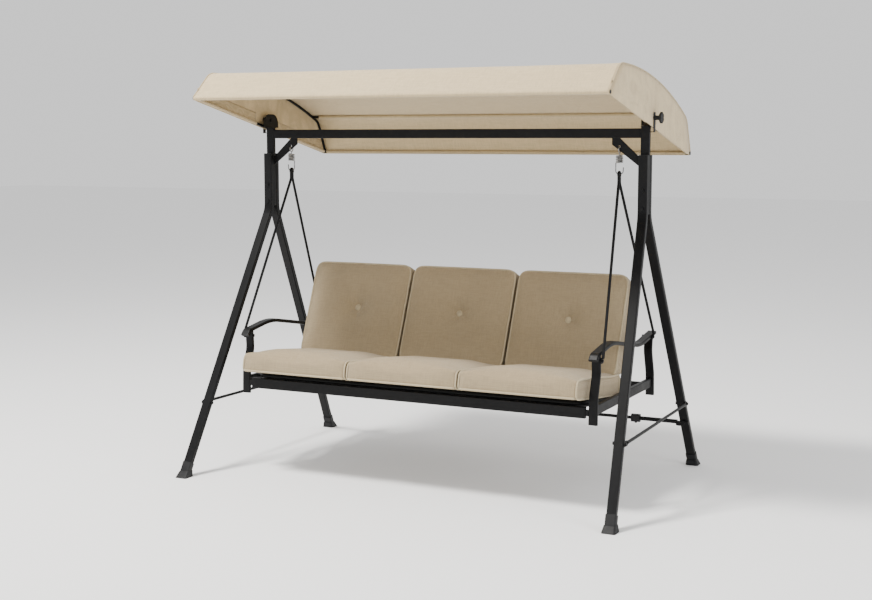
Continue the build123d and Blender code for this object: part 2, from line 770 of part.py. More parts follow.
def cross_rail(y, bottom, rail_height):
    """Rail between the arms: a tube with a stepped block at each end."""
    with BuildPart() as rail:
        with BuildSketch(across(-rail_end_x, y, bottom + rail_height / 2)):
            RectangleRounded(rail_depth, rail_height, 3)
            RectangleRounded(rail_depth - 2 * tube_wall, rail_height - 2 * tube_wall, 3 - tube_wall,
                             mode=Mode.SUBTRACT)
        extrude(amount=2 * rail_end_x)
        for x in (-arm_post_inner, rail_end_x - plug_depth):
            with BuildSketch(across(x, y, bottom + rail_height / 2)):
                Rectangle(rail_end_depth, rail_end_height)
            extrude(amount=arm_post_inner - rail_end_x + plug_depth)
        for x in (-rail_end_x, rail_end_x - plug_flange):
            with BuildSketch(across(x, y, bottom + rail_height / 2)):
                RectangleRounded(rail_depth, rail_height, 3)
            extrude(amount=plug_flange)
    return rail.part


front_rail_y = post_centre_y("front", front_rail_bottom + front_rail_height / 2)
rear_rail_y = post_centre_y("rear", rear_rail_top - rear_rail_height / 2)
write(cross_rail(front_rail_y, front_rail_bottom, front_rail_height), "base_front_rail")
write(cross_rail(rear_rail_y, rear_rail_top - rear_rail_height, rear_rail_height), "base_rear_rail")

with BuildPart() as side_rail:
    with BuildSketch(backward(arm_x, front_rail_y, side_rail_bottom + side_rail_height / 2)):
        RectangleRounded(side_rail_width, side_rail_height, 3)
        RectangleRounded(side_rail_width - 2 * tube_wall, side_rail_height - 2 * tube_wall, 3 - tube_wall,
                         mode=Mode.SUBTRACT)
    extrude(amount=rear_rail_y - front_rail_y)
    for path in arm_post_paths.values():
        add(flat_tube(path, arm_post_width, arm_post_depth, arm_corner, wall=0), mode=Mode.SUBTRACT)
    keep_y = (front_rail_y + rear_rail_y) / 2
side_rail_solid = side_rail.part.solids().sort_by(lambda solid: abs(solid.center().Y - keep_y))[0]
with BuildPart() as base_side_rail:
    add(side_rail_solid)
write_pair(base_side_rail.part, "base_side_rail")

# ------------------------------------------------------------------ deck under the seat cushions
slope = radians(deck_slope)
deck_plane = Plane(origin=(0, deck_front_y, deck_front_height), x_dir=(1, 0, 0), z_dir=(0, sin(slope), cos(slope)))


def deck_point(along, above=0.0):
    """Point in the middle of the bench, along the deck from its front tube and above its plane."""
    return deck_plane.origin + deck_plane.y_dir * along + deck_plane.z_dir * above


def tube_loop(plane, centre, length, depth, corner, radius):
    """Closed tube bent to a rounded rectangle."""
    with BuildSketch(plane) as outline:
        with Locations(centre):
            RectangleRounded(length, depth, corner)
    return round_tube(outline.sketch.face().outer_wire(), radius)


side_rail_inner = arm_x - side_rail_width / 2
with BuildPart() as deck_frame:
    add(tube_loop(deck_plane, (0, deck_depth / 2), 2 * deck_half_length, deck_depth, deck_corner,
                  deck_tube_radius))
    tab_start = deck_half_length + deck_tube_radius - 3
    for along in deck_tab_positions:
        at = deck_point(along)
        low = max(at.Z - deck_tab_thickness / 2, side_rail_bottom + 2)
        for x in (tab_start, -side_rail_inner):
            with BuildSketch(across(x, at.Y, low + deck_tab_thickness / 2)):
                Rectangle(deck_tab_depth, deck_tab_thickness)
            extrude(amount=side_rail_inner - tab_start)
write(deck_frame.part, "deck_frame")

with BuildPart() as deck_slats:
    with BuildSketch(deck_plane.offset(deck_tube_radius)):
        with Locations((0, deck_depth / 2)):
            with GridLocations(deck_slat_span / (deck_slat_count - 1), 1, deck_slat_count, 1):
                Rectangle(deck_slat_width, deck_depth + deck_tube_radius)
    extrude(amount=slat_thickness)
write(deck_slats.part, "deck_slats")

# ------------------------------------------------------------------ back hinge, frame and stay
lean_back = radians(recline)
back_plane = Plane(origin=(0, fold_y, fold_height), x_dir=(1, 0, 0), z_dir=(0, -cos(lean_back), sin(lean_back)))
deck_rear = deck_point(deck_depth)
pivot = Vector(0, fold_y, fold_height)


def link_plate(x, start, radius_at_start, width):
    """Flat plate along the bench's end view, from a tube out to the fold pivot, with the pivot hole."""
    middle = (start + pivot) * 0.5
    reach = pivot - start
    with BuildPart() as plate:
        with BuildSketch(across(x, 0, 0)):
            with Locations(Location((middle.Y, middle.Z, 0), (0, 0, degrees(atan2(reach.Z, reach.Y))))):
                SlotCenterToCenter(reach.length, 2 * hinge_lug_radius)
            with Locations((start.Y, start.Z)):
                Circle(radius_at_start, mode=Mode.SUBTRACT)
            with Locations((fold_y, fold_height)):
                Circle(hinge_pin_radius + hinge_clearance, mode=Mode.SUBTRACT)
        extrude(amount=width)
    return plate.part.solids().sort_by(lambda solid: abs(solid.center().Y - fold_y))[0]


with BuildPart() as hinge_brackets:
    for centre in hinge_positions:
        for x in (centre - hinge_plate * 1.5 - hinge_gap, centre + hinge_plate / 2 + hinge_gap):
            add(link_plate(x, deck_rear, deck_tube_radius, hinge_plate))
write(hinge_brackets.part, "hinge_brackets")

with BuildPart() as hinge_pins:
    for centre in hinge_positions:
        half = hinge_plate * 1.5 + hinge_gap
        add(rod_solid(across(centre - half, fold_y, fold_height), hinge_pin_radius, 2 * half))
        for x in (centre - half - plug_flange, centre + half):
            add(rod_solid(across(x, fold_y, fold_height), 1.5 * hinge_pin_radius, plug_flange))
write(hinge_pins.part, "hinge_pins")


def back_point(along, out):
    """Point in the middle of the bench: along the back from the fold pivot, and out towards the front."""
    return back_plane.origin + back_plane.y_dir * along + back_plane.z_dir * out


stay_pivot_point = back_point(stay_pivot, back_frame_offset)
with BuildPart() as back_frame:
    add(tube_loop(back_plane.offset(back_frame_offset), (0, (back_bottom + back_top) / 2),
                  2 * back_half_length, back_top - back_bottom, back_corner, back_tube_radius))
    for centre in hinge_positions:
        add(link_plate(centre - hinge_plate / 2, back_point(back_bottom, back_frame_offset),
                       back_tube_radius - tube_wall, hinge_plate))
    add(rod_solid(across(-back_half_length, stay_pivot_point.Y, stay_pivot_point.Z),
                  stay_radius + hinge_clearance, 2 * back_half_length), mode=Mode.SUBTRACT)
write(back_frame.part, "back_frame")

with BuildPart() as back_slats:
    with BuildSketch(back_plane.offset(back_frame_offset + back_tube_radius)):
        with Locations((0, (back_bottom + back_top) / 2)):
            with GridLocations(back_slat_span / (back_slat_count - 1), 1, back_slat_count, 1):
                Rectangle(back_slat_width, back_top - back_bottom)
    extrude(amount=slat_thickness)
write(back_slats.part, "back_slats")

stay_foot_height = rear_rail_top + stay_radius + stay_rest_gap
stay_foot_y = stay_pivot_point.Y + sqrt(stay_reach ** 2 - (stay_pivot_point.Z - stay_foot_height) ** 2)
stay_half_length = back_half_length - back_tube_radius - stay_gap - stay_radius
with BuildPart() as back_stay:
    pin_x = stay_half_length + stay_pin_length
    stay_points = [(-pin_x, stay_pivot_point.Y, stay_pivot_point.Z),
                   (-stay_half_length, stay_pivot_point.Y, stay_pivot_point.Z),
                   (-stay_half_length, stay_foot_y, stay_foot_height),
                   (stay_half_length, stay_foot_y, stay_foot_height),
                   (stay_half_length, stay_pivot_point.Y, stay_pivot_point.Z),
                   (pin_x, stay_pivot_point.Y, stay_pivot_point.Z)]
    add(round_tube(route(stay_points, [5.5, stay_bend_radius, stay_bend_radius, 5.5]), stay_radius, wall=0))
write(back_stay.part, "back_stay")

# ------------------------------------------------------------------ cushions
cushion_base = deck_tube_radius + slat_thickness + cushion_gap
cushion_places = (("left", -cushion_pitch), ("centre", 0.0), ("right", cushion_pitch))
for name, centre in cushion_places:
    with BuildPart() as seat_cushion:
        with BuildSketch(deck_plane.offset(cushion_base)):
            with Locations((centre, (seat_front + seat_rear) / 2)):
                RectangleRounded(cushion_width, seat_rear - seat_front, seat_edge_radius)
        extrude(amount=seat_thickness)
        top_edges = seat_cushion.faces().sort_by(Axis.Z)[-1].edges()
        fillet(top_edges, seat_edge_radius - 2)
    write(seat_cushion.part, f"seat_cushion_{name}")

seat_top_plane = deck_plane.offset(cushion_base + seat_thickness + cushion_rest_gap)
cushion_front = back_cushion_start + back_cushion_thickness
with BuildPart() as cushion_buttons:
    for name, centre in cushion_places:
        button_base = back_plane.offset(cushion_front - dimple_depth + 1.5)
        with BuildSketch(button_base):
            with Locations((centre, button_height)):
                Circle(button_radius)
        extrude(amount=button_thickness)
write(cushion_buttons.part, "cushion_buttons")

for name, centre in cushion_places:
    with BuildPart() as back_cushion:
        with BuildSketch(back_plane.offset(back_cushion_start)):
            with Locations((centre, back_cushion_top / 2)):
                Rectangle(cushion_width, back_cushion_top)
        extrude(amount=back_cushion_thickness)
        upright = back_cushion.edges().filter_by(Axis(back_plane.origin, back_plane.z_dir))
        fillet(upright.group_by(Axis.Z)[-1], back_cushion_corner)
        fillet(back_cushion.faces().sort_by(Axis(back_plane.origin, back_plane.z_dir))[-1].edges(),
               back_edge_radius)
        split(bisect_by=seat_top_plane, keep=Keep.TOP)
        hollow = back_point(button_height, cushion_front - dimple_depth + dimple_radius)
        with Locations((centre, hollow.Y, hollow.Z)):
            Sphere(dimple_radius, mode=Mode.SUBTRACT)
    write(back_cushion.part, f"back_cushion_{name}")
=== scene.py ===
"""Looks for the canopy swing bench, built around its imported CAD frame. Metres, in the row frame."""

import json
import math

import bmesh
import bpy
import numpy as np
from mathutils import Matrix, Vector, noise
from mathutils.bvhtree import BVHTree


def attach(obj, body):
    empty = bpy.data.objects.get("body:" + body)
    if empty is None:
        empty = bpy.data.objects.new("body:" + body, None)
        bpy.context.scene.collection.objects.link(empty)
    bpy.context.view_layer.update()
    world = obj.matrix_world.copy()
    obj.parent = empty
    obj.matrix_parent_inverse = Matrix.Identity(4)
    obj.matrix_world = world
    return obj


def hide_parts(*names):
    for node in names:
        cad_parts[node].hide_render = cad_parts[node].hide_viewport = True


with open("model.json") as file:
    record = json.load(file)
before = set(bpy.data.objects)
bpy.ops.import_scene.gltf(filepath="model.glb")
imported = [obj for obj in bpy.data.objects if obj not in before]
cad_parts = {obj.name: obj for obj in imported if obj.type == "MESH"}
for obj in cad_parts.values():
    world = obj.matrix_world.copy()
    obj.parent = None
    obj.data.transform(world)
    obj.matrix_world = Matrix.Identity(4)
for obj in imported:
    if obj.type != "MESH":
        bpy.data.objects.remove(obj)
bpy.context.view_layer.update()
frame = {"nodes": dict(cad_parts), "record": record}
nodes = frame["nodes"]

# ------------------------------------------------------------------ camera, floor and lights
CAMERA_PLACE = (2.6719, -5.5423, 1.4910)
CAMERA_YAW = 0.4565
CAMERA_PITCH = -0.115
CAMERA_LENS = 57.09
SENSOR_WIDTH = 36.0
FLOOR_HALF = 30.0
FLOOR_LEVEL = -0.001


def make_camera():
    data = bpy.data.cameras.new("camera")
    data.lens = CAMERA_LENS
    data.sensor_width = SENSOR_WIDTH
    camera = bpy.data.objects.new("camera", data)
    bpy.context.scene.collection.objects.link(camera)
    camera.location = CAMERA_PLACE
    camera.rotation_euler = (math.pi / 2 + CAMERA_PITCH, 0, CAMERA_YAW)
    bpy.context.scene.camera = camera


def area_light(name, place, target, size, power, colour=(1, 1, 1)):
    data = bpy.data.lights.new(name, "AREA")
    data.shape = "RECTANGLE"
    data.size, data.size_y = size
    data.energy = power
    data.color = colour
    light = bpy.data.objects.new(name, data)
    bpy.context.scene.collection.objects.link(light)
    light.location = place
    light.rotation_euler = (Vector(target) - Vector(place)).to_track_quat("-Z", "Y").to_euler()


def make_stage():
    world = bpy.data.worlds.new("studio")
    bpy.context.scene.world = world
    world.use_nodes = True
    background = world.node_tree.nodes["Background"]
    background.inputs["Color"].default_value = (1.0, 1.0, 1.0, 1)
    background.inputs["Strength"].default_value = 1.0
    area_light("key", (-2.1, -2.6, 6.6), (0, -0.2, 0.8), (1.3, 1.3), 820, (1.0, 0.98, 0.94))
    area_light("fill", (5.2, -1.9, 2.4), (0.2, 0, 0.9), (2.0, 2.0), 95)
    mesh = bpy.data.meshes.new("floor")
    corners = ((-1, -1), (1, -1), (1, 1), (-1, 1))
    places = [(x * FLOOR_HALF, y * FLOOR_HALF, FLOOR_LEVEL) for x, y in corners]
    mesh.from_pydata(places, [], [(0, 1, 2, 3)])
    floor = bpy.data.objects.new("floor", mesh)
    bpy.context.scene.collection.objects.link(floor)
    paper = bpy.data.materials.new("pale_floor")
    paper.use_nodes = True
    shader = paper.node_tree.nodes["Principled BSDF"]
    shader.inputs["Base Color"].default_value = (0.93, 0.93, 0.93, 1)
    shader.inputs["Roughness"].default_value = 0.95
    mesh.materials.append(paper)


make_camera()
make_stage()


# ------------------------------------------------------------------ materials
class Nodes:
    """Small helper for building one node material."""

    def __init__(self, name):
        self.material = bpy.data.materials.new(name)
        self.material.use_nodes = True
        self.tree = self.material.node_tree
        self.shader = self.tree.nodes["Principled BSDF"]

    def add(self, kind):
        return self.tree.nodes.new(kind)

    def link(self, out, into):
        self.tree.links.new(out, into)

    def place(self, scale):
        """Row coordinates, stretched by a scale for each axis."""
        where = self.add("ShaderNodeTexCoord")
        mapping = self.add("ShaderNodeMapping")
        mapping.inputs["Scale"].default_value = scale
        self.link(where.outputs["Object"], mapping.inputs["Vector"])
        return mapping.outputs["Vector"]

    def noise(self, scale, stretch=(1, 1, 1), detail=3.0):
        node = self.add("ShaderNodeTexNoise")
        node.inputs["Scale"].default_value = scale
        node.inputs["Detail"].default_value = detail
        self.link(self.place(stretch), node.inputs["Vector"])
        return node.outputs["Fac"]

    def wave(self, direction, scale):
        """Slightly uneven bands, one for each thread."""
        node = self.add("ShaderNodeTexWave")
        node.wave_type = "BANDS"
        node.bands_direction = direction
        node.inputs["Scale"].default_value = scale
        node.inputs["Distortion"].default_value = 1.2
        node.inputs["Detail"].default_value = 1.0
        node.inputs["Detail Scale"].default_value = 0.6
        self.link(self.place((1, 1, 1)), node.inputs["Vector"])
        return node.outputs["Fac"]

    def math(self, operation, a, b):
        node = self.add("ShaderNodeMath")
        node.operation = operation
        for socket, value in zip(node.inputs, (a, b)):
            if isinstance(value, (int, float)):
                socket.default_value = value
            else:
                self.link(value, socket)
        return node.outputs[0]

    def ramp(self, factor, stops):
        node = self.add("ShaderNodeValToRGB")
        elements = node.color_ramp.elements
        while len(elements) < len(stops):
            elements.new(0.5)
        for element, (position, colour) in zip(elements, stops):
            element.position = position
            element.color = (*colour, 1)
        self.link(factor, node.inputs["Fac"])
        return node.outputs["Color"]

    def mix(self, factor, a, b, kind="MIX"):
        node = self.add("ShaderNodeMix")
        node.data_type = "RGBA"
        node.blend_type = kind
        for socket, value in ((node.inputs[0], factor), (node.inputs[6], a), (node.inputs[7], b)):
            if isinstance(value, (int, float)):
                socket.default_value = value
            elif isinstance(value, tuple):
                socket.default_value = (*value, 1)
            else:
                self.link(value, socket)
        return node.outputs[2]

    def bump(self, height, distance, strength, under=None):
        node = self.add("ShaderNodeBump")
        node.inputs["Strength"].default_value = strength
        node.inputs["Distance"].default_value = distance
        self.link(height, node.inputs["Height"])
        if under is not None:
            self.link(under, node.inputs["Normal"])
        return node.outputs["Normal"]

    def finish(self, colour, roughness, normal, metallic=0.0):
        self.link(colour, self.shader.inputs["Base Color"])
        if isinstance(roughness, (int, float)):
            self.shader.inputs["Roughness"].default_value = roughness
        else:
            self.link(roughness, self.shader.inputs["Roughness"])
        self.shader.inputs["Metallic"].default_value = metallic
        self.link(normal, self.shader.inputs["Normal"])
        return self.material


def tint(colour, factor):
    return tuple(min(1.0, channel * factor) for channel in colour)


def painted_steel():
    """Charcoal powder coat: fine orange peel, faint dust, edges rubbed a little lighter."""
    m = Nodes("charcoal_paint")
    base = (0.0028, 0.0029, 0.0032)
    cloud = m.noise(6.0, detail=4.0)
    colour = m.ramp(cloud, [(0.3, tint(base, 0.8)), (0.7, tint(base, 1.3))])
    edges = m.add("ShaderNodeNewGeometry")
    worn = m.ramp(edges.outputs["Pointiness"], [(0.52, (0, 0, 0)), (0.6, (1, 1, 1))])
    patches = m.math("MULTIPLY", worn, m.noise(60.0))
    colour = m.mix(m.math("MULTIPLY", patches, 0.25), colour, (0.03, 0.03, 0.032))
    peel = m.bump(m.noise(900.0, detail=2.0), 0.0002, 0.5)
    roughness = m.math("ADD", m.math("MULTIPLY", m.noise(25.0), 0.16), 0.36)
    material = m.finish(colour, roughness, peel)
    m.shader.inputs["Specular IOR Level"].default_value = 0.14
    return material


def zinc():
    """Bright zinc plating with faint clouding."""
    m = Nodes("zinc_plate")
    colour = m.ramp(m.noise(70.0, detail=5.0), [(0.3, (0.12, 0.12, 0.125)), (0.7, (0.31, 0.31, 0.305))])
    roughness = m.math("ADD", m.math("MULTIPLY", m.noise(130.0), 0.25), 0.2)
    return m.finish(colour, roughness, m.bump(m.noise(1200.0), 0.0001, 0.5), metallic=1.0)


def moulded_plastic():
    """Matt black moulded plastic with a fine sparked texture."""
    m = Nodes("moulded_plastic")
    colour = m.ramp(m.noise(18.0), [(0.3, (0.007, 0.007, 0.008)), (0.7, (0.015, 0.015, 0.016))])
    roughness = m.math("ADD", m.math("MULTIPLY", m.noise(45.0), 0.15), 0.5)
    m.shader.inputs["Specular IOR Level"].default_value = 0.25
    return m.finish(colour, roughness, m.bump(m.noise(1500.0, detail=2.0), 0.0002, 0.8))


WAVE_FACTOR = 20.0  # the wave texture multiplies its place by this


def woven(name, colour, thread, slub, depth, contrast=1.0):
    """Plain-weave cloth: crossing threads, slubs along them, soft shading between patches."""
    m = Nodes(name)
    scale = 1.0 / (thread * WAVE_FACTOR) * 2 * math.pi
    across = m.wave("X", scale)
    along = m.wave("Z", scale)
    deep = m.wave("Y", scale)
    weave = m.math("MAXIMUM", m.math("MULTIPLY", across, along), m.math("MULTIPLY", across, deep))
    slubs_x = m.noise(slub, (0.08, 1, 1), 2.0)
    slubs_z = m.noise(slub, (1, 0.2, 0.08), 2.0)
    slubs = m.math("MULTIPLY", m.math("ADD", slubs_x, slubs_z), 0.5)
    cloud = m.noise(3.5, detail=5.0)
    darker, lighter = tint(colour, 1 - 0.07 * contrast), tint(colour, 1 + 0.06 * contrast)
    body = m.ramp(cloud, [(0.25, darker), (0.75, lighter)])
    flecks = m.ramp(slubs, [(0.38, tint(colour, 0.80)), (0.5, colour), (0.62, tint(colour, 1.16))])
    body = m.mix(0.45, body, flecks)
    threads = m.ramp(weave, [(0.0, (0.78, 0.77, 0.76)), (0.6, (1.0, 1.0, 1.0))])
    body = m.mix(0.8, body, threads, "MULTIPLY")
    fibres = m.bump(m.noise(2500.0, detail=2.0), 0.0002, 0.35)
    normal = m.bump(slubs, depth, 0.5, m.bump(weave, depth, 0.7, fibres))
    material = m.finish(body, 0.92, normal)
    m.shader.inputs["Specular IOR Level"].default_value = 0.25
    m.shader.inputs["Sheen Weight"].default_value = 0.25
    m.shader.inputs["Sheen Roughness"].default_value = 0.5
    return material


CUSHION_COLOUR = (0.365, 0.285, 0.172)
PIPING_COLOUR = (0.47, 0.39, 0.25)
CANOPY_COLOUR = (0.60, 0.475, 0.28)
looks = {
    "frame_paint": painted_steel(),
    "zinc_steel": zinc(),
    "dark_plastic": moulded_plastic(),
    "cushion_cloth": woven("cushion_weave", CUSHION_COLOUR, 0.0011, 260.0, 0.0005),
    "canopy_cloth": woven("canopy_weave", CANOPY_COLOUR, 0.0008, 200.0, 0.0003, 0.6),
}
piping_look = woven("piping_weave", PIPING_COLOUR, 0.0008, 300.0, 0.0003)
slot_of = {entry["node"]: entry["material_slot"] for entry in frame["record"]["subparts"]}
for node, obj in nodes.items():
    obj.data.materials.clear()
    obj.data.materials.append(looks[slot_of[node]])


# ------------------------------------------------------------------ mesh helpers
def new_piece(name, verts, faces, material, body):
    """A smooth mesh piece that rides on a body."""
    mesh = bpy.data.meshes.new(name)
    mesh.from_pydata([tuple(v) for v in verts], [], faces)
    mesh.validate()
    mesh.materials.append(material)
    obj = bpy.data.objects.new(name, mesh)
    bpy.context.scene.collection.objects.link(obj)
    face_outward(mesh)
    for polygon in mesh.polygons:
        polygon.use_smooth = True
    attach(obj, body)
    return obj


def face_outward(mesh):
    shape = bmesh.new()
    shape.from_mesh(mesh)
    bmesh.ops.recalc_face_normals(shape, faces=shape.faces)
    shape.to_mesh(mesh)
    shape.free()


def tube_mesh(points, radius, closed, sides=10):
    """Vertices and faces of a round cord through the points."""
    points = [Vector(p) for p in points]
    count = len(points)
    verts, faces = [], []
    side = None
    for i, point in enumerate(points):
        before = points[i - 1] if closed or i else point
        after = points[(i + 1) % count] if closed or i < count - 1 else point
        along = (after - before).normalized()
        if side is None:
            side = along.orthogonal().normalized()
        side = (side - along * side.dot(along)).normalized()
        up = along.cross(side)
        size = radius[i] if isinstance(radius, list) else radius
        for k in range(sides):
            angle = 2 * math.pi * k / sides
            verts.append(point + (side * math.cos(angle) + up * math.sin(angle)) * size)
    rings = count if closed else count - 1
    for i in range(rings):
        a, b = i * sides, ((i + 1) % count) * sides
        for k in range(sides):
            n = (k + 1) % sides
            faces.append((a + k, a + n, b + n, b + k))
    if not closed:
        faces.append(tuple(range(sides))[::-1])
        last = (count - 1) * sides
        faces.append(tuple(range(last, last + sides)))
    return verts, faces


def smooth_line(points, closed, times):
    """The same number of points, each eased towards its neighbours."""
    points = [Vector(p) for p in points]
    for _ in range(times):
        eased = []
        for i, point in enumerate(points):
            if not closed and i in (0, len(points) - 1):
                eased.append(point)
                continue
            eased.append((points[i - 1] + points[(i + 1) % len(points)] + point * 2) / 4)
        points = eased
    return points


def ease(value):
    """Smooth step from 0 to 1."""
    value = min(1.0, max(0.0, value))
    return value * value * (3 - 2 * value)


# ------------------------------------------------------------------ cushions
PITCH = 0.530
SOLID_HALF = 0.264
HALF = 0.2595
BACK_HALF = 0.2568
SEAT_BASE = 0.019
SEAT_THICK = 0.093
SEAT_FRONT = -0.121
BACK_REAR = 0.007
BACK_FRONT = 0.115
BACK_TOP = 0.503
SEAT_CROWN = 0.016
SEAT_END_DROP = 0.008
SEAT_FRONT_DROP = 0.004
BACK_CROWN = 0.007
BACK_EDGE_DROP = 0.004
DIMPLE_WIDE = 0.024
DIMPLE_DEEP = 0.017
PUCKER = 0.0022
BUTTON_HEIGHT = 0.290
BUTTON_RADIUS = 0.0155
BUTTON_RISE = 0.0068
SLOPE = math.radians(7)
DECK = Matrix(((1, 0, 0, 0), (0, math.cos(SLOPE), math.sin(SLOPE), -0.335),
               (0, -math.sin(SLOPE), math.cos(SLOPE), 0.432), (0, 0, 0, 1)))
LEAN = math.radians(22.5)
BACK = Matrix(((1, 0, 0, 0), (0, math.sin(LEAN), -math.cos(LEAN), 0.112),
               (0, math.cos(LEAN), math.sin(LEAN), 0.402), (0, 0, 0, 1)))
PIPING_RADIUS = 0.0041
OUTLINE_POINTS = 160
VOXEL = 0.006
CLOTH_PRESSURE = 3.0
CLOTH_CAP = 0.010
CLOTH_FRAMES = 20


def local_copy(node, name, to_local):
    """The CAD node's mesh, remeshed evenly, in a cushion's own axes."""
    mesh = nodes[node].data.copy()
    mesh.materials.clear()
    obj = bpy.data.objects.new(name, mesh)
    bpy.context.scene.collection.objects.link(obj)
    mesh.transform(to_local)
    remesh = obj.modifiers.new("even", "REMESH")
    remesh.mode = "VOXEL"
    remesh.voxel_size = VOXEL
    apply_all(obj)
    return obj


def apply_all(obj):
    """Turns the object's modifiers into plain mesh."""
    evaluated = obj.evaluated_get(bpy.context.evaluated_depsgraph_get())
    mesh = bpy.data.meshes.new_from_object(evaluated)
    obj.modifiers.clear()
    old = obj.data
    obj.data = mesh
    bpy.data.meshes.remove(old)


def vertex_array(obj):
    co = np.zeros(len(obj.data.vertices) * 3)
    obj.data.vertices.foreach_get("co", co)
    return co.reshape(-1, 3)


def set_vertices(obj, co):
    obj.data.vertices.foreach_set("co", co.ravel())
    obj.data.update()


def ease_array(value):
    value = np.clip(value, 0, 1)
    return value * value * (3 - 2 * value)


def inflate(obj, held):
    """Cloth under pressure with the held points fixed; no point moves further than the cap."""
    start = vertex_array(obj)
    group = obj.vertex_groups.new(name="held")
    for index in np.nonzero(held > 0.01)[0]:
        group.add([int(index)], float(held[index]), "REPLACE")
    cloth = obj.modifiers.new("cloth", "CLOTH")
    settings = cloth.settings
    settings.quality = 5
    settings.mass = 0.3
    settings.tension_stiffness = 18
    settings.compression_stiffness = 10
    settings.shear_stiffness = 6
    settings.bending_stiffness = 0.6
    settings.use_pressure = True
    settings.uniform_pressure_force = CLOTH_PRESSURE
    settings.vertex_group_mass = "held"
    settings.effector_weights.gravity = 0
    cloth.collision_settings.use_collision = False
    cloth.point_cache.frame_start = 1
    cloth.point_cache.frame_end = CLOTH_FRAMES
    for number in range(1, CLOTH_FRAMES + 1):
        bpy.context.scene.frame_set(number)
    apply_all(obj)
    bpy.context.scene.frame_set(1)
    moved = vertex_array(obj) - start
    length = np.linalg.norm(moved, axis=1, keepdims=True)
    moved *= np.minimum(1.0, CLOTH_CAP / np.maximum(length, 1e-9))
    set_vertices(obj, start + moved)


def relax(obj, times):
    shape = bmesh.new()
    shape.from_mesh(obj.data)
    for _ in range(times):
        bmesh.ops.smooth_vert(shape, verts=shape.verts, factor=0.5,
                              use_axis_x=True, use_axis_y=True, use_axis_z=True)
    shape.to_mesh(obj.data)
    shape.free()


def fabric_noise(co, scale, seed):
    """Smooth noise between -1 and 1 at each point."""
    scale = Vector(scale)
    places = (Vector((p[0] * scale.x + seed, p[1] * scale.y, p[2] * scale.z)) for p in co)
    return np.array([noise.noise(place) for place in places])


def finish_cushion(obj, name, to_row, node, body):
    subdivide = obj.modifiers.new("smooth", "SUBSURF")
    subdivide.levels = subdivide.render_levels = 1
    apply_all(obj)
    obj.data.transform(to_row)
    obj.data.materials.clear()
    obj.data.materials.append(looks["cushion_cloth"])
    for polygon in obj.data.polygons:
        polygon.use_smooth = True
    obj.name = name
    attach(obj, body)
    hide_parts(node)


def piping(name, points, to_row, body, closed=True):
    """A fabric-covered cord along a seam."""
    line = smooth_line(points, closed, 4)
    verts, faces = tube_mesh([to_row @ p for p in line], PIPING_RADIUS, closed)
    new_piece(name, verts, faces, piping_look, body)


def cushion_tree(obj):
    shape = bmesh.new()
    shape.from_mesh(obj.data)
    tree = BVHTree.FromBMesh(shape)
    shape.free()
    return tree


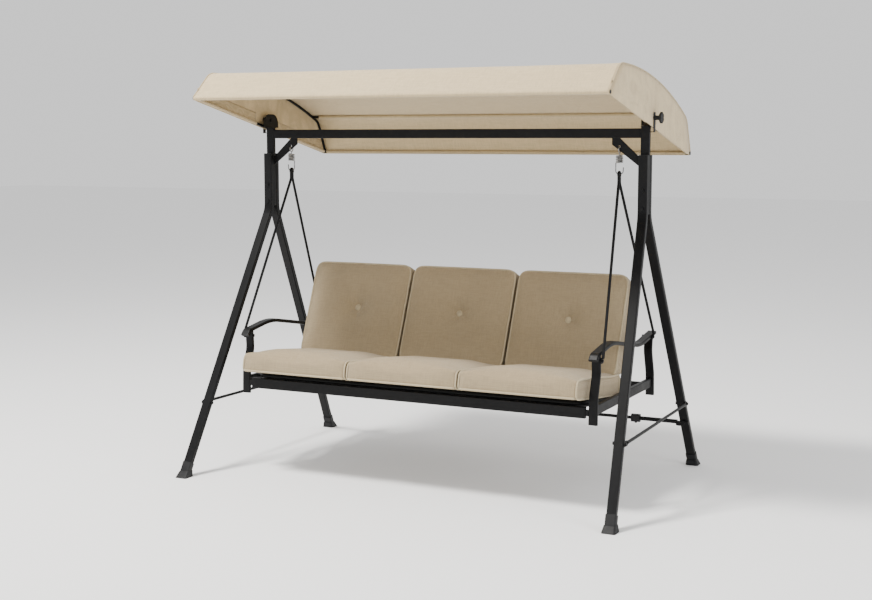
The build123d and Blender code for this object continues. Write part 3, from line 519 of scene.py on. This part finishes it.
def seat_cushion(side, centre, seed):
    """A seat cushion: crowned top rolling over the front, boxed ends between piped seams."""
    to_deck = DECK.inverted() @ Matrix.Translation((-centre, 0, 0))
    obj = local_copy(f"seat_cushion_{side}", f"seat_pad_{side}", to_deck)
    co = vertex_array(obj)
    height = np.clip((co[:, 2] - SEAT_BASE) / SEAT_THICK, 0, 1)
    inner = HALF - np.abs(co[:, 0])
    forward = co[:, 1] - SEAT_FRONT
    back_share = ease_array((0.40 - co[:, 1]) / 0.10)
    drop = SEAT_END_DROP * (1 - ease_array(inner / 0.06)) * back_share
    drop += SEAT_FRONT_DROP * (1 - ease_array(forward / 0.10))
    co[:, 2] -= height * drop
    co[:, 1] += 0.006 * height ** 2 * (1 - ease_array(forward / 0.08))
    co[:, 0] *= HALF / SOLID_HALF
    crown_place = ease_array(inner / 0.15) * ease_array(forward / 0.10)
    crown_place *= ease_array((0.39 - co[:, 1]) / 0.12)
    co[:, 2] += height * SEAT_CROWN * crown_place
    co[:, 1] -= 0.004 * np.sin(np.pi * height) * (forward < 0.03) * ease_array(inner / 0.1)
    gather = np.exp(-np.maximum(inner, 0) / 0.035) * height
    ripple = fabric_noise(co, (6, 42, 30), seed) * gather
    front_gather = np.exp(-np.maximum(forward, 0) / 0.03) * np.exp(-height / 0.5)
    ripple += 0.8 * fabric_noise(co, (40, 6, 8), seed + 9) * front_gather
    co[:, 2] -= PUCKER * ripple * (height > 0.05)
    co[:, 1] += 0.0012 * ripple * (forward < 0.05)
    set_vertices(obj, co)
    seam = np.exp(-((np.abs(co[:, 0]) - HALF) / 0.006) ** 2) * (height > 0.55)
    held = np.clip(np.maximum(seam, (height < 0.06) * 1.0), 0, 1)
    inflate(obj, held)
    co = vertex_array(obj)
    co[:, 0] = np.clip(co[:, 0], -HALF - 0.0005, HALF + 0.0005)
    co[:, 2] = np.maximum(co[:, 2], SEAT_BASE + 0.0005)
    limit = SEAT_BASE + SEAT_THICK + SEAT_CROWN * ease_array((0.350 - co[:, 1]) / 0.08)
    co[:, 2] = np.minimum(co[:, 2], limit)
    co[:, 1] = np.maximum(co[:, 1], SEAT_FRONT - 0.004)
    set_vertices(obj, co)
    relax(obj, 2)
    tree = cushion_tree(obj)
    to_row = Matrix.Translation((centre, 0, 0)) @ DECK
    for end, sign in (("near", 1), ("far", -1)):
        middle = Vector((sign * (HALF - 0.005), 0.148, 0.058))
        points = outline(tree, middle, Vector((0, 1, 0)), Vector((0, 0, 1)))
        points = [p + (p - Vector((p.x, middle.y, middle.z))).normalized() * 0.0020 for p in points]
        line = [Vector((sign * (HALF - 0.0015), max(p.y, SEAT_FRONT - 0.0035), p.z)) for p in points]
        piping(f"seat_piping_{side}_{end}", line, to_row, "seat")
    front = []
    for step in range(41):
        x = (HALF - 0.006) * (step / 20 - 1)
        hit = tree.ray_cast(Vector((x, -0.4, SEAT_BASE + 0.008)), Vector((0, 1, 0)))[0]
        if hit is not None:
            front.append(hit + Vector((0, -0.0016, -0.001)))
    piping(f"seat_piping_{side}_front", front, to_row, "seat", closed=False)
    finish_cushion(obj, f"seat_pad_{side}", to_row, f"seat_cushion_{side}", "seat")


def outline(tree, middle, right, up):
    """Closed line round a cushion in the plane through its middle and two directions."""
    points = []
    for step in range(OUTLINE_POINTS):
        angle = 2 * math.pi * step / OUTLINE_POINTS
        far = middle + right * (0.6 * math.cos(angle)) + up * (0.6 * math.sin(angle))
        hit = tree.ray_cast(far, (middle - far).normalized())[0]
        if hit is not None:
            points.append(hit)
    return resample(points, OUTLINE_POINTS)


def resample(points, count):
    """Evenly spaced points round a closed line."""
    points = list(points) + [points[0]]
    lengths = [0.0]
    for a, b in zip(points, points[1:]):
        lengths.append(lengths[-1] + (b - a).length)
    result = []
    for step in range(count):
        goal = lengths[-1] * step / count
        i = max(j for j, length in enumerate(lengths) if length <= goal + 1e-12)
        i = min(i, len(points) - 2)
        share = (goal - lengths[i]) / max(lengths[i + 1] - lengths[i], 1e-9)
        result.append(points[i].lerp(points[i + 1], share))
    return result


def back_cushion(side, centre, seed):
    """A back cushion: pillow-shaped front drawn in at its button, piped front and rear edges."""
    to_row = Matrix.Translation((centre, 0, 0)) @ BACK
    obj = local_copy(f"back_cushion_{side}", f"back_pad_{side}", to_row.inverted())
    co = vertex_array(obj)
    depth = np.clip((co[:, 2] - BACK_REAR) / (BACK_FRONT - BACK_REAR), 0, 1)
    inner = SOLID_HALF - np.abs(co[:, 0])
    below_top = BACK_TOP - co[:, 1]
    edge = np.minimum(inner, below_top)
    drop = BACK_EDGE_DROP * (1 - ease_array(edge / 0.07))
    co[:, 2] -= depth * drop
    away = np.hypot(co[:, 0], co[:, 1] - BUTTON_HEIGHT)
    hollow = np.clip(0.016 - (0.070 - np.sqrt(np.maximum(0.070 ** 2 - away ** 2, 0))), 0, None)
    co[:, 2] += depth * hollow * 0.95
    co[:, 2] += depth * BACK_CROWN * ease_array(edge / 0.15)
    dimple = DIMPLE_WIDE * np.exp(-(away / 0.080) ** 2) + DIMPLE_DEEP * np.exp(-(away / 0.030) ** 2)
    co[:, 2] -= depth * dimple
    co[:, 0] *= BACK_HALF / SOLID_HALF
    co[:, 1] -= 0.012 * ease_array(depth / 0.2) * (1 - ease_array((co[:, 1] - 0.06) / 0.10))
    waist = np.sin(np.pi * depth)
    co[:, 0] -= np.sign(co[:, 0]) * 0.003 * waist * (inner < 0.01)
    angle = np.arctan2(co[:, 1] - BUTTON_HEIGHT, co[:, 0])
    pleats = np.cos(angle * 6 + 0.8 * np.sin(angle * 2 + seed)) * np.exp(-((away - 0.035) / 0.035) ** 2)
    co[:, 2] += depth * PUCKER * pleats
    gather = np.exp(-np.maximum(edge, 0) / 0.03) * depth
    co[:, 2] -= PUCKER * fabric_noise(co, (34, 34, 10), seed) * gather
    set_vertices(obj, co)
    seam = np.exp(-((depth - 0.87) / 0.09) ** 2) * (edge < 0.010)
    held = np.maximum(seam, (depth < 0.05) * 1.0)
    held = np.maximum(held, np.exp(-(away / 0.016) ** 2) * (depth > 0.5))
    held = np.maximum(held, (co[:, 1] < 0.09) * 1.0)
    inflate(obj, np.clip(held, 0, 1))
    co = vertex_array(obj)
    co[:, 0] = np.clip(co[:, 0], -BACK_HALF - 0.001, BACK_HALF + 0.001)
    co[:, 1] = np.minimum(co[:, 1], BACK_TOP + 0.0025)
    co[:, 2] = np.clip(co[:, 2], BACK_REAR, BACK_FRONT + 0.008)
    set_vertices(obj, co)
    relax(obj, 1)
    tree = cushion_tree(obj)
    for label, level in (("front", 0.106), ("rear", 0.014)):
        middle = Vector((0.0, 0.27, level))
        points = outline(tree, middle, Vector((1, 0, 0)), Vector((0, 1, 0)))
        points = [p + (p - middle).normalized() * 0.0024 for p in points]
        piping(f"back_piping_{side}_{label}", points, to_row, "back")
    hit = tree.ray_cast(Vector((0.0, BUTTON_HEIGHT, 0.3)), Vector((0, 0, -1)))[0]
    add_button(side, to_row, hit)
    finish_cushion(obj, f"back_pad_{side}", to_row, f"back_cushion_{side}", "back")


def add_button(side, to_row, seat):
    """A fabric-covered button: shallow dome, rolled edge, a few puckers."""
    rings, sides = 9, 40
    verts, faces = [], []
    for ring in range(rings + 1):
        share = ring / rings
        slope = share * math.pi * 0.62
        for k in range(sides):
            angle = 2 * math.pi * k / sides
            pucker = 1 + 0.03 * share * math.cos(angle * 9)
            r = BUTTON_RADIUS * math.sin(slope) * pucker
            verts.append(to_row @ Vector((seat.x + r * math.cos(angle), seat.y + r * math.sin(angle),
                                          seat.z + 0.0028 + BUTTON_RISE * math.cos(slope))))
    for ring in range(rings):
        for k in range(sides):
            n = (k + 1) % sides
            a, b = ring * sides, (ring + 1) * sides
            faces.append((a + k, a + n, b + n, b + k))
    faces.append(tuple(range(rings * sides, (rings + 1) * sides)))
    new_piece(f"button_{side}", verts, faces, piping_look, "back")


for number, (side, centre) in enumerate((("left", -PITCH), ("centre", 0.0), ("right", PITCH))):
    seat_cushion(side, centre, 3.1 + 7 * number)
    back_cushion(side, centre, 1.7 + 5 * number)
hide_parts("cushion_buttons")

# ------------------------------------------------------------------ canopy cloth
TILT = math.radians(12.3)
CANOPY = Matrix(((0, 0, 1, 0), (math.cos(TILT), math.sin(TILT), 0, 0),
                 (-math.sin(TILT), math.cos(TILT), 0, 1.583), (0, 0, 0, 1)))
HALF_LENGTH = 0.9487
HALF_CHORD = 0.578
HEM = -0.040
SHOULDER = (0.470, 0.106)
CROWN = 0.158
CLOTH = 0.0013
SAG = 0.010
SPACING = 0.008
COLUMNS = 150
PIVOT_HOLE = 0.012
HEM_BAR = (0.5601, -0.031)
CORNER_BAR = (0.404, 0.1105)
END_BAR_X = 0.941
END_POCKET_X = 0.9468
END_POCKET_HEIGHT = 0.050
END_REACH = (0.082, 0.548)
SLEEVE_RADIUS = 0.0079
END_SLEEVE_RADIUS = 0.0070
HEM_SLEEVE_REACH = 0.930
CORNER_SLEEVE_REACH = 0.900
SEAM_RADIUS = 0.0026


def rounded_corner(before, corner, after, radius, steps=10):
    """Points of an arc that rounds a corner."""
    a, c, b = Vector(before), Vector(corner), Vector(after)
    u, v = (a - c).normalized(), (b - c).normalized()
    half = math.acos(max(-1, min(1, u.dot(v)))) / 2
    reach = radius / math.tan(half)
    centre = c + (u + v).normalized() * radius / math.sin(half)
    start, end = c + u * reach - centre, c + v * reach - centre
    turn = start.angle(end)
    sign = 1 if start.x * end.y - start.y * end.x > 0 else -1
    result = []
    for step in range(steps + 1):
        angle = sign * turn * step / steps
        result.append(centre + Vector((start.x * math.cos(angle) - start.y * math.sin(angle),
                                       start.x * math.sin(angle) + start.y * math.cos(angle))))
    return result


def canopy_profile():
    """Side outline of the cloth from its front hem, up and over, to its rear hem, as (u, v)."""
    rise = CROWN - SHOULDER[1]
    radius = (SHOULDER[0] ** 2 + rise ** 2) / (2 * rise)
    arch = []
    for step in range(49):
        u = SHOULDER[0] * (step / 24 - 1)
        arch.append(Vector((u, CROWN - radius + math.sqrt(radius ** 2 - u ** 2))))
    tip = (-HALF_CHORD, HEM)
    lip = (-HALF_CHORD + 0.022, HEM)
    front = [Vector(lip)] + rounded_corner(lip, tip, (-SHOULDER[0], SHOULDER[1]), 0.008, 6)
    shoulder = rounded_corner(tip, (-SHOULDER[0], SHOULDER[1]), tuple(arch[3]), 0.085)
    middle = [p for p in arch if abs(p.x) < abs(shoulder[-1].x) - 0.01]
    half = front + shoulder
    return half + middle + [Vector((-p.x, p.y)) for p in reversed(half)]


def even_line(points, spacing):
    """Points at even spacing along an open line."""
    lengths = [0.0]
    for a, b in zip(points, points[1:]):
        lengths.append(lengths[-1] + (b - a).length)
    count = max(2, round(lengths[-1] / spacing))
    result, i = [], 0
    for step in range(count + 1):
        goal = lengths[-1] * step / count
        while i < len(points) - 2 and lengths[i + 1] < goal:
            i += 1
        share = (goal - lengths[i]) / max(lengths[i + 1] - lengths[i], 1e-9)
        result.append(points[i].lerp(points[i + 1], min(1.0, share)))
    return result


def bar_clearance(point):
    """0 where the cloth lies against a bar, 1 away from the bars."""
    bars = (HEM_BAR, CORNER_BAR)
    near = min(math.hypot(abs(point.x) - chord, point.y - level) for chord, level in bars)
    return ease((near - 0.010) / 0.035)


def canopy_cover():
    """One sheet over the arched frame, its ends sewn in, sagging a little between the frames."""
    line = even_line(canopy_profile(), SPACING)
    verts, faces = [], []
    count = len(line)
    for column in range(COLUMNS + 1):
        x = HALF_LENGTH * (2 * column / COLUMNS - 1)
        share = 1 - abs(x) / HALF_LENGTH
        for index, point in enumerate(line):
            along = index / (count - 1)
            inward = Vector((-point.x * 0.25, 0.05 - point.y)).normalized()
            sag = SAG * ease(share / 0.45) * math.sin(math.pi * along) ** 3
            clear = bar_clearance(point)
            ripple = noise.noise(Vector((x * 5, point.x * 3, point.y * 9)))
            gather = noise.noise(Vector((x * 6, index * 0.55, 3.3)))
            gather *= math.exp(-share / 0.05) * ease(share / 0.006)
            move = sag + (0.0016 * (ripple + 1) * ease(share / 0.08) + 0.0020 * (gather + 0.4)) * clear
            place = point + inward * move
            verts.append(Vector((place.x, place.y, x)))
    for column in range(COLUMNS):
        for index in range(count - 1):
            a = column * count + index
            faces.append((a, a + 1, a + count + 1, a + count))
    for column, x in ((0, -HALF_LENGTH), (COLUMNS, HALF_LENGTH)):
        end_panel(verts, faces, [column * count + i for i in range(count)], x)
    mesh = bpy.data.meshes.new("canopy_cover")
    mesh.from_pydata([tuple(CANOPY @ v) for v in verts], [], faces)
    mesh.validate()
    face_outward(mesh)
    mesh.materials.append(looks["canopy_cloth"])
    obj = bpy.data.objects.new("canopy_cover", mesh)
    bpy.context.scene.collection.objects.link(obj)
    for polygon in mesh.polygons:
        polygon.use_smooth = True
    return obj


def end_panel(verts, faces, rim, x):
    """Flat D-shaped end with a hole at the pivot, joined to the rim."""
    rings = 14
    closing = []
    first, last = verts[rim[0]], verts[rim[-1]]
    for step in range(1, 40):
        share = step / 40
        closing.append(len(verts))
        level = last.y + (first.y - last.y) * share
        verts.append(Vector((last.x + (first.x - last.x) * share, level, x)))
    previous = rim + closing
    outline = [Vector((verts[i].x, verts[i].y)) for i in previous]
    for ring in range(1, rings + 1):
        share = (ring / rings) ** 0.9
        current = []
        for point in outline:
            place = point.lerp(point.normalized() * PIVOT_HOLE, share)
            bulge = 0.0012 * noise.noise(Vector((place.x * 9, place.y * 9, x)))
            inset = math.copysign(abs(bulge) * math.sin(math.pi * share), x)
            current.append(len(verts))
            verts.append(Vector((place.x, place.y, x - inset)))
        total = len(current)
        for i in range(total):
            n = (i + 1) % total
            faces.append((previous[i], previous[n], current[n], current[i]))
        previous = current


def solidify(obj, thickness):
    thicken = obj.modifiers.new("thick", "SOLIDIFY")
    thicken.thickness = thickness
    thicken.offset = -1
    apply_all(obj)


def seam_cord(name, points, radius, material):
    verts, faces = tube_mesh([CANOPY @ p for p in points], radius, False, 8)
    return new_piece(name, verts, faces, material, "canopy")


def sleeve(name, start, end, radius, seed):
    """A cloth pocket drawn over a bar, a little uneven along its length; its cloth is the canopy cloth
    tinted darker, as painted shade.
    """
    start, end = Vector(start), Vector(end)
    count = max(2, round((end - start).length / 0.010))
    points = [start.lerp(end, i / count) for i in range(count + 1)]
    sizes = [radius + 0.0004 * noise.noise(p * 22 + Vector((seed, 0, 0))) for p in points]
    verts, faces = tube_mesh([CANOPY @ p for p in points], sizes, False, 16)
    return new_piece(name, verts, faces, shaded_pocket_cloth, "canopy")


def end_pocket(name, x, start, end):
    """The turned-up cloth above an end frame's lower bar, sewn to the inside of the end panel; its
    cloth is the canopy cloth tinted darker, painted shade for the shadow band along the panel's foot.
    """
    columns, rows = 48, 6
    side = math.copysign(1, x)
    verts, faces = [], []
    for column in range(columns + 1):
        share = column / columns
        for row in range(rows + 1):
            level = HEM_BAR[1] + END_POCKET_HEIGHT * row / rows
            puff = 0.0012 * noise.noise(Vector((share * 9, level * 40, x))) + 0.0012 * (1 - row / rows)
            inset = side * (0.0002 + abs(puff) * (row < rows))
            verts.append(Vector((start + (end - start) * share, level, x - inset)))
    for column in range(columns):
        for row in range(rows):
            a = column * (rows + 1) + row
            faces.append((a, a + 1, a + rows + 2, a + rows + 1))
    piece = new_piece(name, [CANOPY @ v for v in verts], faces, shaded_pocket_cloth, "canopy")
    solidify(piece, 0.0008)
    return piece


cover = canopy_cover()
solidify(cover, CLOTH)
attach(cover, "canopy")
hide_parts("canopy_fabric")
canopy_seam = woven("canopy_seam_weave", tint(CANOPY_COLOUR, 0.80), 0.0008, 260.0, 0.0003)
# The pocket cloth is the canopy cloth tinted darker: painted shade on the bar sleeves and end pockets.
shaded_pocket_cloth = woven("canopy_pocket_painted_shade_weave", tint(CANOPY_COLOUR, 0.86), 0.0008, 260.0, 0.0003)
sleeved_bars = (("hem_", HEM_BAR, HEM_SLEEVE_REACH), ("", CORNER_BAR, CORNER_SLEEVE_REACH))
for prefix, (chord, level), reach in sleeved_bars:
    for label, sign in (("front", -1), ("rear", 1)):
        start, end = (sign * chord, level, -reach), (sign * chord, level, reach)
        name = f"canopy_sleeve_{prefix}{label}"
        sleeve(name, start, end, SLEEVE_RADIUS, sign * chord)
for side, hand in (("left", -1), ("right", 1)):
    x = hand * END_BAR_X
    for label, sign in (("front", -1), ("rear", 1)):
        near, far = (sign * reach for reach in END_REACH)
        start, end = (near, HEM_BAR[1], x), (far, HEM_BAR[1], x)
        name = f"canopy_end_sleeve_{side}_{label}"
        sleeve(name, start, end, END_SLEEVE_RADIUS, sign + x)
        end_pocket(f"canopy_end_pocket_{side}_{label}", hand * END_POCKET_X, near, far)
rim_line = even_line(canopy_profile(), SPACING)
for label, x in (("left", -HALF_LENGTH), ("right", HALF_LENGTH)):
    rim = [Vector((p.x, p.y, x)) for p in rim_line[3:-3]]
    seam_cord(f"canopy_seam_{label}", rim, SEAM_RADIUS, canopy_seam)
